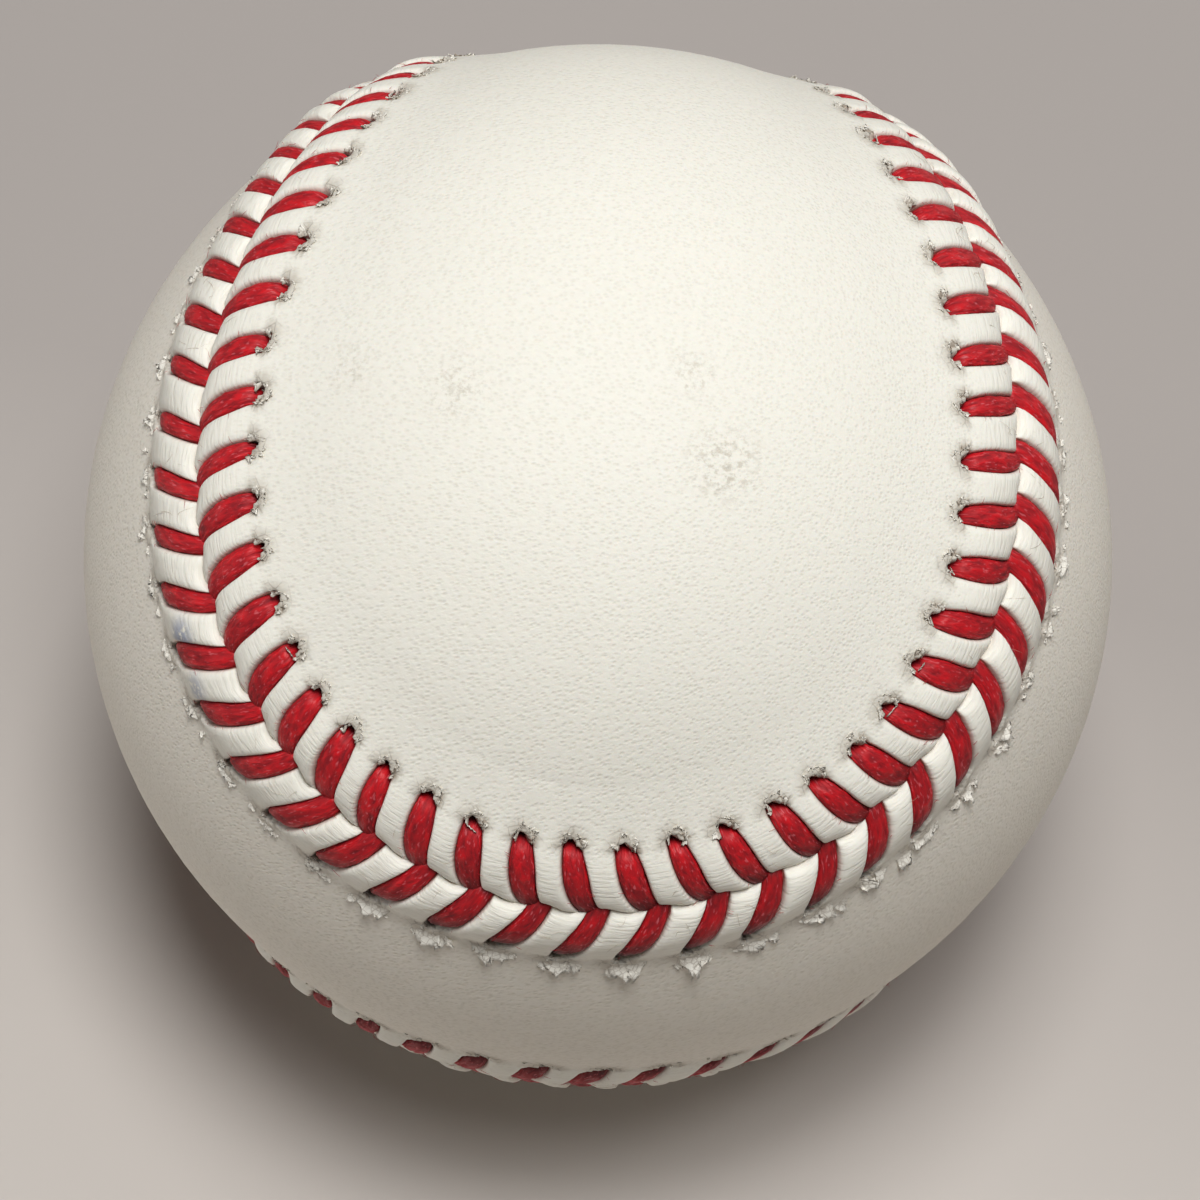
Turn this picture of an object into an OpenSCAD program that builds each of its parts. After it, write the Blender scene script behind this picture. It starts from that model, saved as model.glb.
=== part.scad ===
// Baseball: a cork and rubber pill, four wound layers of yarn, two figure-eight
// leather panels and a row of double stitches that closes the seam between them.
// The origin is the centre of the ball. +Z leaves through a lobe of the top panel,
// and -Y leaves through the waist of the front panel.

/* [Pill] */
// Diameter of the cork and rubber core
core_d = 20.6; // [16:0.1:26]
// Wall of the two black rubber half shells
black_rubber_wall = 4.0; // [2:0.1:6]
// Height of the red gasket ring between the half shells
gasket_h = 1.2; // [0.6:0.1:3]
// Wall of the red rubber jacket
red_rubber_wall = 2.4; // [1:0.1:4]

/* [Windings] */
// Wall of the first winding, thick grey wool
inner_wool_wall = 14.6; // [8:0.1:18]
// Wall of the second winding, white wool
white_wool_wall = 1.8; // [0.8:0.1:4]
// Wall of the third winding, fine grey wool
outer_wool_wall = 2.2; // [0.8:0.1:4]
// Wall of the finishing winding, white cotton yarn
finishing_wall = 0.5; // [0.3:0.1:1.5]
// Film of rubber cement between the yarn and the leather
cement_film = 0.2; // [0.2:0.01:0.4]

/* [Cover] */
// Thickness of the leather
leather_t = 1.2; // [0.9:0.05:1.8]
// Width of the parting line between the two panels
parting_gap = 0.24; // [0.15:0.01:0.4]
// How far the seam stands above the leather beside it
lip_rise = 1.05; // [0.4:0.05:1.2]
// Distance from the parting line to a row of holes
hole_row = 5.2; // [4.6:0.1:6]
// Distance from the row of holes to the foot of the raised lip
foot_run = 1.4; // [0.9:0.1:2.5]

/* [Stitching] */
// Stitches in each quarter of the seam
stitches_per_quarter = 27; // [25:1:29]
// Width of the waxed thread where it lies flat
thread_w = 1.7; // [1.2:0.05:2]
// Thickness of the thread
thread_t = 0.9; // [0.6:0.05:1.1]
// How far each leg on the top panel leans along the seam
top_lean = 1.4; // [0.8:0.1:2.2]
// How far each leg on the front panel leans along the seam
front_lean = 2.0; // [0.8:0.1:2.2]

/* [Hidden] */

$fn = 96;

// Radii of the layers, each laid on the one before
core_r = core_d / 2;
black_r = core_r + black_rubber_wall;
pill_r = black_r + red_rubber_wall;
inner_wool_r = pill_r + inner_wool_wall;
white_wool_r = inner_wool_r + white_wool_wall;
outer_wool_r = white_wool_r + outer_wool_wall;
yarn_r = outer_wool_r + finishing_wall;
lining_r = yarn_r + cement_film;
ball_r = lining_r + leather_t;

// Shape of the seam: a curve of the form a cos t + b cos 3t, a sin t - b sin 3t, c sin 2t
seam_b_share = 0.337;
seam_a_share = 1 - seam_b_share;
seam_c_share = 0.778;
seam_steps = 720;
stitch_count = 4 * stitches_per_quarter;
// Where the first stitch lies along the seam, in stitches
stitch_phase_share = 0.37;
// Ends of the lobes, as shares of the seam's length
top_end_share = 7 / 8;
front_end_share = 1 / 8;

// The thread dips below the leather at both ends of a leg and rides over the lip between
thread_dip = 0.28;
thread_proud = 0.2;
parting_clear = 0.62;
seat_gap = 0.05;
flat_half = (thread_w - thread_t) / 2;
groove_share = 0.5;
groove_half = flat_half + thread_t * groove_share;
pillow_gap_share = 0.6;
pillow_gap = thread_w / 2 + thread_t * pillow_gap_share;
lip_foot = hole_row + foot_run;

// Cross-section of a lip between two stitches, from the parting line outwards
lip_place_share = [0, 0.12, 0.36, 0.62, 0.8, 1];
lip_height_share = [-0.25, 0.78, 1, 0.76, 0.34, 0];
// Where the floor of a groove meets the arc of its leg: 1 is the parting end, -1 the hole
groove_arc_share = [1, 1, 0.33, -0.33, -1, -1];
rows = len(lip_place_share);
edge_drop = 0.62;

// Longest facet on the plain leather, and the margin where it meets the lip
facet = 5;
foot_margin = 0.9;

// Unit vectors and a point of the seam at the curve's own parameter
function unit(v) = v / norm(v);
function seam_xyz(t) = let (
    u = seam_a_share * cos(t) + seam_b_share * cos(3 * t),
    v = seam_a_share * sin(t) - seam_b_share * sin(3 * t),
    w = seam_c_share * sin(2 * t)
) unit([u + v, w * sqrt(2), u - v]);

// Arc length on the unit sphere, by steps round the whole curve
step_deg = 360 / seam_steps;
step_len = [for (i = [0 : seam_steps - 1])
    norm(seam_xyz((i + 1) * step_deg) - seam_xyz(i * step_deg))];
run_len = [for (i = 0, s = 0; i <= seam_steps; s = s + (i < seam_steps ? step_len[i] : 0), i = i + 1) s];
seam_len = run_len[seam_steps];
len_to_t = [for (i = [0 : seam_steps]) [run_len[i] / seam_len * stitch_count, i * step_deg]];
pitch = seam_len * ball_r / stitch_count;

// Curve parameter at a place counted in stitches along the seam
function wrap(s) = s - floor(s / stitch_count) * stitch_count;
function seam_t(s) = lookup(wrap(s), len_to_t);
function seam_dir(s) = seam_xyz(seam_t(s));
function seam_along(s) = unit(seam_xyz(seam_t(s) + step_deg) - seam_xyz(seam_t(s) - step_deg));
// Sideways from the seam, towards the panel on the given side: 1 is the top panel, -1 the front
function seam_side(s, side) = unit(cross(seam_dir(s), seam_along(s))) * side;

// Point of the cover: s stitches along the seam, d beside it, at a radius
function cover_point(s, d, side, radius) = let (
    a = d / ball_r * 180 / PI
) radius * (seam_dir(s) * cos(a) + seam_side(s, side) * sin(a));

// Frame of one leg of a stitch: an arc from its hole to the parting line
function lean(side) = (side > 0 ? top_lean : front_lean) / pitch;
function leg_hole(k, side) = cover_point(k + stitch_phase_share, hole_row, side, ball_r - thread_dip);
function leg_end(k, side) =
    cover_point(k + stitch_phase_share + lean(side), parting_clear, side, ball_r - thread_dip);
function leg_frame(k, side) = let (
    from = leg_hole(k, side),
    to = leg_end(k, side),
    middle = (from + to) / 2,
    chord = norm(to - from),
    rise = ball_r + lip_rise + thread_proud - thread_t / 2 - norm(middle),
    radius = (chord * chord / 4 + rise * rise) / (2 * rise),
    ahead = unit(to - from),
    across = unit(cross(ahead, middle)),
    out = cross(across, ahead)
) [middle + out * (rise - radius), ahead, out, across, radius, asin(chord / 2 / radius)];

// Floor of the groove under a leg, at a share of its arc, shifted along the seam
function groove_point(leg, share, shift, side) = let (
    a = leg[5] * share,
    radius = leg[4] - thread_t / 2 - seat_gap
) leg[0] + radius * (leg[2] * cos(a) + leg[1] * sin(a)) - leg[3] * side * shift;

// The lip's rows hold four points for each stitch: two on the pillows beside the
// leg and two on the floor of its groove
corner_share = [-1, -1, 1, 1];
function lip_d(row) = parting_gap / 2 + lip_place_share[row] * (lip_foot - parting_gap / 2);
function lean_at(d, side) = lean(side) * max(0, 1 - d / hole_row);
function pillow_point(k, row, sign, side) = cover_point(
    k + stitch_phase_share + lean_at(lip_d(row), side) + sign * pillow_gap / pitch,
    lip_d(row), side, ball_r + lip_rise * lip_height_share[row]
);
function floor_point(k, row, sign, side) =
    row == 0 ? cover_point(k + stitch_phase_share + lean(side) + sign * groove_half / pitch,
        lip_d(0), side, ball_r - edge_drop)
    : row == rows - 1 ? cover_point(k + stitch_phase_share + sign * groove_half / pitch,
        lip_foot, side, ball_r)
    : groove_point(leg_frame(k, side), groove_arc_share[row], sign * groove_half, side);
function lip_row(row, side) = [for (k = [0 : stitch_count - 1]) each [
    pillow_point(k, row, -1, side), floor_point(k, row, -1, side),
    floor_point(k, row, 1, side), pillow_point(k, row, 1, side)
]];

// Plain leather: arcs that span the panel from one side of its edge to the other.
// The stations of the edge pair up across the middle of each lobe's end.
station_shift = stitches_per_quarter % 2 == 0 ? 0.5 : 0;
rungs = stitch_count / 2;
function first_station(end_share) = end_share * stitch_count - station_shift - 0.5;
function left_station(i, end_share) = wrap(first_station(end_share) - i);
function right_station(i, end_share) = wrap(first_station(end_share) + 1 + i);
function stations(d, side, radius) = [for (j = [0 : stitch_count - 1])
    cover_point(j + station_shift, d, side, radius)];
function slerp(p, q, f) = let (a = acos(unit(p) * unit(q)))
    (p * sin((1 - f) * a) + q * sin(f * a)) / sin(a);
function rung_parts(p, q, i) =
    i == 0 || i == rungs - 1 ? 1 : 2 * ceil(norm(q - p) / facet / 2);
function rung_counts(edge, end_share) = [for (i = [0 : rungs - 1])
    rung_parts(edge[left_station(i, end_share)], edge[right_station(i, end_share)], i)];
function rung_points(edge, counts, end_share) = [for (i = [0 : rungs - 1])
    for (j = [1 : 1 : counts[i] - 1])
        slerp(edge[left_station(i, end_share)], edge[right_station(i, end_share)], j / counts[i])];
function running(counts) = [for (i = 0, n = 0; i < rungs; n = n + counts[i] - 1, i = i + 1) n];
function rung_ids(i, counts, starts, edge_id, inner_id, end_share) = concat(
    [edge_id + left_station(i, end_share)],
    [for (j = [1 : 1 : counts[i] - 1]) inner_id + starts[i] + j - 1],
    [edge_id + right_station(i, end_share)]
);

// Triangles between two open rows of points, whatever their counts
function zip(a, b, i = 0, j = 0) =
    i == len(a) - 1 && j == len(b) - 1 ? []
    : j == len(b) - 1 || (i < len(a) - 1 && (i + 1) / (len(a) - 1) <= (j + 1) / (len(b) - 1))
        ? concat([[a[i], a[i + 1], b[j]]], zip(a, b, i + 1, j))
        : concat([[a[i], b[j + 1], b[j]]], zip(a, b, i, j + 1));
function rung_faces(counts, edge_id, inner_id, end_share) = let (starts = running(counts))
    [for (i = [0 : rungs - 2]) each zip(
        rung_ids(i, counts, starts, edge_id, inner_id, end_share),
        rung_ids(i + 1, counts, starts, edge_id, inner_id, end_share)
    )];

// Triangles between two rows of the lip, and from a row of the lip to the stations
function ring_faces(a, b, n) = [for (i = [0 : n - 1]) let (j = (i + 1) % n) each
    [[a + i, a + j, b + j], [a + i, b + j, b + i]]];
nearest = round(stitch_phase_share - station_shift);
function fan_faces(row, edge, shift) = [for (k = [0 : stitch_count - 1]) let (
    first = row + 4 * k,
    next = row + 4 * ((k + 1) % stitch_count),
    near = edge + (k + shift) % stitch_count,
    far = edge + (k + 1 + shift) % stitch_count
) each [
    [first, first + 1, near], [first + 1, first + 2, near], [first + 2, first + 3, near],
    [first + 3, next, near], [next, far, near]
]];
function flipped(faces) = [for (f = faces) [f[2], f[1], f[0]]];

// One figure-eight panel as a closed shell: its lip, its plain leather and its lining
module figure_eight(side, end_share) {
    outer_edge = stations(lip_foot + foot_margin, side, ball_r);
    outer_counts = rung_counts(outer_edge, end_share);
    outer_field = rung_points(outer_edge, outer_counts, end_share);
    lining_edge = stations(parting_gap / 2, side, lining_r);
    lining_counts = rung_counts(lining_edge, end_share);
    lining_field = rung_points(lining_edge, lining_counts, end_share);
    ring = 4 * stitch_count;
    outer_id = rows * ring;
    outer_field_id = outer_id + stitch_count;
    lining_id = outer_field_id + len(outer_field);
    lining_field_id = lining_id + stitch_count;
    points = concat([for (row = [0 : rows - 1]) each lip_row(row, side)],
        outer_edge, outer_field, lining_edge, lining_field);
    outside = concat(
        [for (row = [0 : rows - 2]) each ring_faces(row * ring, (row + 1) * ring, ring)],
        fan_faces((rows - 1) * ring, outer_id, nearest),
        rung_faces(outer_counts, outer_id, outer_field_id, end_share)
    );
    inside = concat(
        fan_faces(0, lining_id, nearest),
        rung_faces(lining_counts, lining_id, lining_field_id, end_share)
    );
    faces = concat(outside, flipped(inside));
    polyhedron(points, side > 0 ? flipped(faces) : faces, convexity = 6);
}

// A hollow ball, for the layers that are moulded or wound on the one below
module shell(inner_r, outer_r) {
    difference() {
        sphere(outer_r);
        sphere(inner_r);
    }
}

// Half of the black rubber wall, on the side of the gasket given by sign
module half_shell(sign) {
    intersection() {
        shell(core_r, black_r);
        translate([0, 0, sign * (gasket_h + black_r) / 2])
            cube([2 * black_r, 2 * black_r, black_r], center = true);
    }
}

// Flattened round section of the waxed thread
module thread_section() {
    for (sign = [-1, 1]) translate([0, sign * flat_half]) circle(d = thread_t);
    square([thread_t, 2 * flat_half], center = true);
}

// One leg of a stitch, bent over the lip
module leg(k, side) {
    f = leg_frame(k, side);
    multmatrix([
        [f[1].x, f[2].x, f[3].x, f[0].x],
        [f[1].y, f[2].y, f[3].y, f[0].y],
        [f[1].z, f[2].z, f[3].z, f[0].z]
    ])
        rotate([0, 0, 90 - f[5]])
            rotate_extrude(angle = 2 * f[5]) translate([f[4], 0]) thread_section();
}

module cork_core() color("#b5895b") sphere(core_r);

module black_rubber_shell_upper() color("#262524") half_shell(1);

module black_rubber_shell_lower() color("#262524") half_shell(-1);

module rubber_gasket() color("#9c2f26") intersection() {
    shell(core_r, black_r);
    cube([2 * black_r, 2 * black_r, gasket_h], center = true);
}

module red_rubber_jacket() color("#a8342a") shell(black_r, pill_r);

module gray_wool_inner_winding() color("#8f8d88") shell(pill_r, inner_wool_r);

module white_wool_winding() color("#e6e1d3") shell(inner_wool_r, white_wool_r);

module gray_wool_outer_winding() color("#9b9994") shell(white_wool_r, outer_wool_r);

module finishing_winding() color("#efeadd") shell(outer_wool_r, yarn_r);

module cover_panel_top() color("#efeadd") figure_eight(1, top_end_share);

module cover_panel_front() color("#ebe5d7") figure_eight(-1, front_end_share);

module seam_thread() color("#b3202b") {
    for (k = [0 : stitch_count - 1], side = [-1, 1]) leg(k, side, $fn = 24);
}

cork_core();
black_rubber_shell_upper();
black_rubber_shell_lower();
rubber_gasket();
red_rubber_jacket();
gray_wool_inner_winding();
white_wool_winding();
gray_wool_outer_winding();
finishing_winding();
cover_panel_top();
cover_panel_front();
seam_thread();
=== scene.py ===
import math

import bmesh
import bpy
import numpy as np
from mathutils import Matrix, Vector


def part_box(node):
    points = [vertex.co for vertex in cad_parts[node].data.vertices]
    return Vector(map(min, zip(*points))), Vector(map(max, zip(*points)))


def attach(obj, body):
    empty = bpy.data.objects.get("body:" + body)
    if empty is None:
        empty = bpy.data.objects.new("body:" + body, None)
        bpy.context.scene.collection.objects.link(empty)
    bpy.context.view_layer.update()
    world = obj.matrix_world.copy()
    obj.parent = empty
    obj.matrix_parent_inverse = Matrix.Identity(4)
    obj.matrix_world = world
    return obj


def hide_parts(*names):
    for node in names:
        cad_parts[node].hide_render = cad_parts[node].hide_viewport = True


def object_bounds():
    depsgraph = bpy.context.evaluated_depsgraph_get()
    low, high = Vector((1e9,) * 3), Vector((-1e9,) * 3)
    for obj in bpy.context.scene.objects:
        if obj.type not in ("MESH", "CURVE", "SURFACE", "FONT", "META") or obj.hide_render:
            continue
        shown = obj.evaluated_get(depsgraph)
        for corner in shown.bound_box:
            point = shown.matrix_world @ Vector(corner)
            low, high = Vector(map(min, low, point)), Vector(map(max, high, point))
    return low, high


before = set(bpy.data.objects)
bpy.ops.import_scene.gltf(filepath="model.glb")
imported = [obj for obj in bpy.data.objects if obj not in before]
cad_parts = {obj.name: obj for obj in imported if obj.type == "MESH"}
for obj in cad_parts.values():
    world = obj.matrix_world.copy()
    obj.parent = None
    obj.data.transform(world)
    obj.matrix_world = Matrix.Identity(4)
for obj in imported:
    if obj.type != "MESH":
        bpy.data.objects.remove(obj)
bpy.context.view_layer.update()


# The pill
# A ball of ground cork bound in rubber sits in two half shells of black rubber. A red
# rubber gasket ring closes the gap between them, and a red rubber jacket is moulded over
# both. All of it is matte: cork shows its granules, and rubber a faint moulded grain.
MM = 0.001

CORK_LIGHT = "#b58a5c"
CORK_DARK = "#6f4a2b"
CORK_GRANULE = 1.3 * MM
BLACK_RUBBER = "#1f1e1d"
BLACK_RUBBER_BLOOM = "#34322f"
RED_RUBBER = "#96291f"
RED_RUBBER_BLOOM = "#a8473a"
RUBBER_IOR = 1.52


def linear(hex_colour):
    """An sRGB hex colour as the linear RGBA that a socket takes."""
    parts = [int(hex_colour[i:i + 2], 16) / 255 for i in (1, 3, 5)]
    return [c / 12.92 if c <= 0.04045 else ((c + 0.055) / 1.055) ** 2.4 for c in parts] + [1.0]


def new_material(name):
    """A material with its node tree and its surface shader."""
    made = bpy.data.materials.new(name)
    made.use_nodes = True
    return made, made.node_tree, made.node_tree.nodes["Principled BSDF"]


def feed(tree, node, inputs):
    """Sets a node's inputs, each to a number or a colour, or links it to the socket given."""
    for socket, value in inputs.items():
        if isinstance(value, bpy.types.NodeSocket):
            tree.links.new(value, node.inputs[socket])
        else:
            node.inputs[socket].default_value = value


def add(tree, kind, inputs=None, **settings):
    """Adds a node with its settings and its inputs."""
    made = tree.nodes.new("ShaderNode" + kind)
    for name, value in settings.items():
        setattr(made, name, value)
    feed(tree, made, inputs or {})
    return made


def cork_composition():
    """Ground cork in rubber: pale granules with dark edges, dry and rough."""
    made, tree, shader = new_material("cork_composition")
    place = add(tree, "TexCoord").outputs["Object"]
    granule = add(tree, "TexVoronoi", {"Vector": place, "Scale": 1 / CORK_GRANULE})
    tone = add(tree, "Mix", {0: granule.outputs["Distance"], 6: linear(CORK_LIGHT), 7: linear(CORK_DARK)},
               data_type="RGBA")
    bump = add(tree, "Bump", {"Height": granule.outputs["Distance"], "Strength": 0.5, "Distance": 0.2 * MM})
    feed(tree, shader, {"Base Color": tone.outputs[2], "Normal": bump.outputs[0], "Roughness": 0.9})
    return made


def moulded_rubber(name, colour, bloom):
    """Vulcanised rubber: matte, with a faint bloom and the mould's fine grain."""
    made, tree, shader = new_material(name)
    place = add(tree, "TexCoord").outputs["Object"]
    cloud = add(tree, "TexNoise", {"Vector": place, "Scale": 1 / (4 * MM), "Detail": 4.0})
    grain = add(tree, "TexNoise", {"Vector": place, "Scale": 1 / (0.3 * MM), "Detail": 2.0})
    tone = add(tree, "Mix", {0: cloud.outputs[0], 6: linear(colour), 7: linear(bloom)}, data_type="RGBA")
    bump = add(tree, "Bump", {"Height": grain.outputs[0], "Strength": 0.3, "Distance": 0.05 * MM})
    feed(tree, shader, {"Base Color": tone.outputs[2], "Normal": bump.outputs[0], "Roughness": 0.65,
                        "IOR": RUBBER_IOR})
    return made


def finish_node(name, made):
    """Gives a CAD node its finish."""
    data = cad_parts[name].data
    data.materials.clear()
    data.materials.append(made)


black_rubber = moulded_rubber("moulded_black_rubber", BLACK_RUBBER, BLACK_RUBBER_BLOOM)
red_rubber = moulded_rubber("moulded_red_rubber", RED_RUBBER, RED_RUBBER_BLOOM)
finish_node("cork_core", cork_composition())
finish_node("black_rubber_shell_upper", black_rubber)
finish_node("black_rubber_shell_lower", black_rubber)
finish_node("rubber_gasket", red_rubber)
finish_node("red_rubber_jacket", red_rubber)


# The windings
# Grey and white wool yarn and then thin cotton yarn are wound over the pill under tension,
# each turn on a great circle that crosses the last ones. The strands lie side by side in
# bands, soft and fibrous, and the last layer is pale with rubber cement.
# Each yarn's colour, and a darker tone that serves as painted shade where strands lie low
WOOL_GREY = ("#8d8a84", "#5f5d59")
WOOL_WHITE = ("#e9e3d3", "#b5ad9b")
COTTON = ("#f1ead9", "#c9bfa8")
THICK_YARN = 1.8 * MM
FINE_YARN = 1.2 * MM
COTTON_YARN = 0.5 * MM
# Single fibres are about 0.03 mm thick, and are drawn five times as coarse to show
YARN_FIBRE = 0.15 * MM
# A wave texture of scale 1 repeats each 0.314
WAVE = 0.314


def wound_yarn(name, colours, strand):
    """Yarn wound in crossing bands: three sets of parallel strands, each on top in places."""
    made, tree, shader = new_material(name)
    place = add(tree, "TexCoord").outputs["Object"]
    height = None
    for turn in range(3):
        turned = add(tree, "Mapping", {"Vector": place, "Rotation": (0.9 * turn, 1.3 * turn, 0.4)})
        band = add(tree, "TexWave", {"Vector": turned.outputs[0], "Scale": WAVE / strand,
                                     "Distortion": 0.6}, wave_profile="SIN")
        if height is None:
            height = band.outputs["Fac"]
        else:
            where = add(tree, "TexNoise", {"Vector": turned.outputs[0], "Scale": 1 / (14 * MM)})
            chosen = add(tree, "MapRange", {0: where.outputs[0], 1: 0.48, 2: 0.52})
            height = add(tree, "Mix", {0: chosen.outputs[0], 2: height, 3: band.outputs["Fac"]}).outputs[0]
    fibre = add(tree, "TexNoise", {"Vector": place, "Scale": 1 / YARN_FIBRE, "Detail": 3.0})
    fluffy = add(tree, "Math", {0: height, 1: fibre.outputs[0]}, operation="MULTIPLY")
    # Painted shade: the yarn takes its darker tone where the strands lie low between the bands, and the
    # fibres vary it at random
    tone = add(tree, "Mix", {0: fluffy.outputs[0], 6: linear(colours[1]), 7: linear(colours[0])},
               data_type="RGBA")
    bump = add(tree, "Bump", {"Height": fluffy.outputs[0], "Strength": 0.8, "Distance": strand / 3})
    feed(tree, shader, {"Base Color": tone.outputs[2], "Normal": bump.outputs[0], "Roughness": 0.95,
                        "Sheen Weight": 0.3})
    return made


finish_node("gray_wool_inner_winding", wound_yarn("grey_wool_yarn", WOOL_GREY, THICK_YARN))
finish_node("white_wool_winding", wound_yarn("white_wool_yarn", WOOL_WHITE, FINE_YARN))
finish_node("gray_wool_outer_winding", wound_yarn("fine_grey_wool_yarn", WOOL_GREY, FINE_YARN))
finish_node("finishing_winding", wound_yarn("cotton_finishing_yarn", COTTON, COTTON_YARN))


# The cover
# Two figure-eight panels of alum-tanned white leather, 1.2 mm thick, are stretched over the
# yarn. Their edges meet in one closed seam, and the stitches pull the leather up into a
# row of small pillows on each side of it, with a rolled edge down into the parting line.
YARN_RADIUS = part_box("finishing_winding")[1].z / MM
CEMENT = 0.2
LEATHER = 1.2
LINING_RADIUS = YARN_RADIUS + CEMENT
BALL_RADIUS = LINING_RADIUS + LEATHER
STITCHES = 108
SEAM_B = 0.337
SEAM_C = 0.778
# Where the first stitch stands, counted in stitches along the seam
FIRST_STITCH = 0.35
# The two panels, and the middles of a lobe's end on each, as shares of the seam
TOP, FRONT = 1, -1
LOBE_END = {TOP: 7 / 8, FRONT: 1 / 8}
# Distances from the parting line, in mm: the holes, the last place that the seam's wander
# reaches, the end of the sewn band and the lining's edge
HOLE_ROW = 5.2
WANDER_END = 8.3
BAND_END = 8.8
LINING_EDGE = 1.0
# The tables of sizes that vary along the seam start at this stitch and run once round
TABLE_START = 81


def seam_direction(turn):
    """The seam's closed curve on the unit ball, at the curve's own angle."""
    across = (1 - SEAM_B) * np.cos(turn) + SEAM_B * np.cos(3 * turn)
    along = (1 - SEAM_B) * np.sin(turn) - SEAM_B * np.sin(3 * turn)
    lift = SEAM_C * math.sqrt(2) * np.sin(2 * turn)
    point = np.stack([across + along, lift, across - along], -1)
    return point / np.linalg.norm(point, axis=-1, keepdims=True)


seam_turn = np.linspace(0, 2 * math.pi, 7201)
seam_steps = np.linalg.norm(np.diff(seam_direction(seam_turn), axis=0), axis=1)
seam_count = np.concatenate([[0], np.cumsum(seam_steps)]) * STITCHES / seam_steps.sum()
PITCH = seam_steps.sum() * BALL_RADIUS / STITCHES


def seam_frame(stitch):
    """Outward and towards-the-top-panel directions at places on the seam."""
    turn = np.interp(np.mod(stitch, STITCHES), seam_count, seam_turn)
    out = seam_direction(turn)
    step = 0.002
    along = seam_direction(turn + step) - seam_direction(turn - step)
    along /= np.linalg.norm(along, axis=-1, keepdims=True)
    return out, np.cross(out, along)


def on_ball(stitch, beside, height):
    """Points at places counted in stitches, mm towards the top panel and mm above the leather."""
    stitch, beside, height = np.broadcast_arrays(stitch, beside, height)
    out, towards = seam_frame(stitch)
    angle = (beside / BALL_RADIUS)[..., None]
    return (BALL_RADIUS + height)[..., None] * (out * np.cos(angle) + towards * np.sin(angle))


def fair(knots, x):
    """A smooth curve through a few knots (x, y)."""
    kx, ky = (np.array(v, float) for v in zip(*knots))
    slope = np.gradient(ky, kx)
    i = np.clip(np.searchsorted(kx, x) - 1, 0, len(kx) - 2)
    w = kx[i + 1] - kx[i]
    t = np.clip((x - kx[i]) / w, 0, 1)
    a, b = ky[i], ky[i + 1]
    return (a * (1 + 2 * t) * (1 - t) ** 2 + b * t * t * (3 - 2 * t)
            + w * (slope[i] * t * (1 - t) ** 2 + slope[i + 1] * t * t * (t - 1)))


def along_seam(knots, stitch):
    """A size that varies along the seam, from its table."""
    return fair(knots, TABLE_START + np.mod(stitch - TABLE_START, STITCHES))


# Each leg of a stitch runs from its hole to the parting line. Its line, in stitches ahead
# of the hole, and its half width, in mm, both by distance from the parting line in mm.
LEG_LINE = {
    TOP: [(-0.4, 0.44), (0, 0.375), (0.5, 0.305), (1, 0.245), (2, 0.16), (3, 0.1), (4, 0.04),
          (4.7, 0), (5.4, -0.01)],
    FRONT: [(-0.4, 0.58), (0, 0.545), (0.5, 0.49), (1, 0.425), (2, 0.29), (3, 0.165), (4, 0.065),
            (4.7, 0.015), (5.4, -0.01)],
}
LEG_HALF_WIDTH = {
    TOP: [(-0.4, 0.52), (0, 0.6), (0.6, 0.73), (1.2, 0.83), (2.2, 0.91), (3.2, 0.91), (4, 0.84),
          (4.5, 0.75), (5, 0.63), (5.6, 0.48)],
    FRONT: [(-0.4, 0.7), (0, 0.74), (0.5, 0.79), (1.2, 0.84), (2.5, 0.85), (3.6, 0.82), (4.3, 0.76),
            (4.8, 0.66), (5.2, 0.56), (5.6, 0.45)],
}
# Height above the plain leather: the pillows' crowns, and the tops of the legs
PILLOW_TOP = {
    TOP: [(0, 0.4), (0.09, 0.5), (0.19, 0.59), (0.35, 0.71), (0.6, 0.84), (0.95, 0.96), (1.7, 1.08),
          (2.5, 1.08), (3.4, 0.95), (4.1, 0.78), (4.8, 0.58), (5.4, 0.44), (6.1, 0.3), (7, 0.17),
          (7.9, 0.07), (BAND_END, 0)],
    FRONT: [(0, 0.48), (0.09, 0.6), (0.19, 0.71), (0.35, 0.85), (0.6, 0.99), (0.95, 1.09), (1.7, 1.18),
            (2.4, 1.16), (3.1, 1), (3.8, 0.74), (4.4, 0.46), (4.9, 0.22), (5.25, 0.09), (5.6, 0.04),
            (6.4, 0.01), (BAND_END, 0)],
}
LEG_TOP = {
    TOP: [(-0.4, 0), (-0.25, 0.36), (-0.1, 0.54), (0.1, 0.65), (0.4, 0.76), (0.8, 0.9), (1.4, 1.02),
          (2.2, 1.08), (3.1, 1.02), (3.7, 0.89), (4.2, 0.7), (4.5, 0.48), (4.75, 0.08), (4.95, -0.6),
          (5.3, -1.15)],
    FRONT: [(-0.4, 0), (-0.25, 0.36), (-0.1, 0.58), (0.1, 0.7), (0.4, 0.84), (0.8, 1), (1.4, 1.14),
            (2.1, 1.19), (2.9, 1.07), (3.6, 0.83), (4.2, 0.55), (4.6, 0.3), (4.85, 0.02), (5.05, -0.4),
            (5.35, -0.95)],
}
LEG_THICKNESS = 0.95
# The groove that a leg lies in: its gap beside the leg, its rounded shoulder, its deepest
# place, how shallow it is at the parting line, how much it deepens and over what distance
SIDE_GAP = 0.03
SHOULDER = 0.34
DEEPEST = -0.95
SHALLOW, DEEPENING, DEEPENS_OVER = 0.08, 0.82, 1.1
# The end of a leg: where its groove stops, and how much earlier on the side ahead
LEG_END = {TOP: 5.2, FRONT: 5.35}
END_SLANT = {TOP: 0.1, FRONT: 0.7}
# The pit at the hole: place outwards, shift ahead and radius
PIT_PLACE = {TOP: 5.02, FRONT: 5.05}
PIT_AHEAD = {TOP: -0.22, FRONT: -0.5}
PIT_RADIUS = {TOP: 0.42, FRONT: 0.22}
PIT_DEPTH = {TOP: 1.15, FRONT: 0.7}
# The torn pocket beside each pit of the top panel: its depth, and which panels have it
POCKET_DEPTH = 0.16
POCKET = {TOP: 1.0, FRONT: 0.0}
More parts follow.
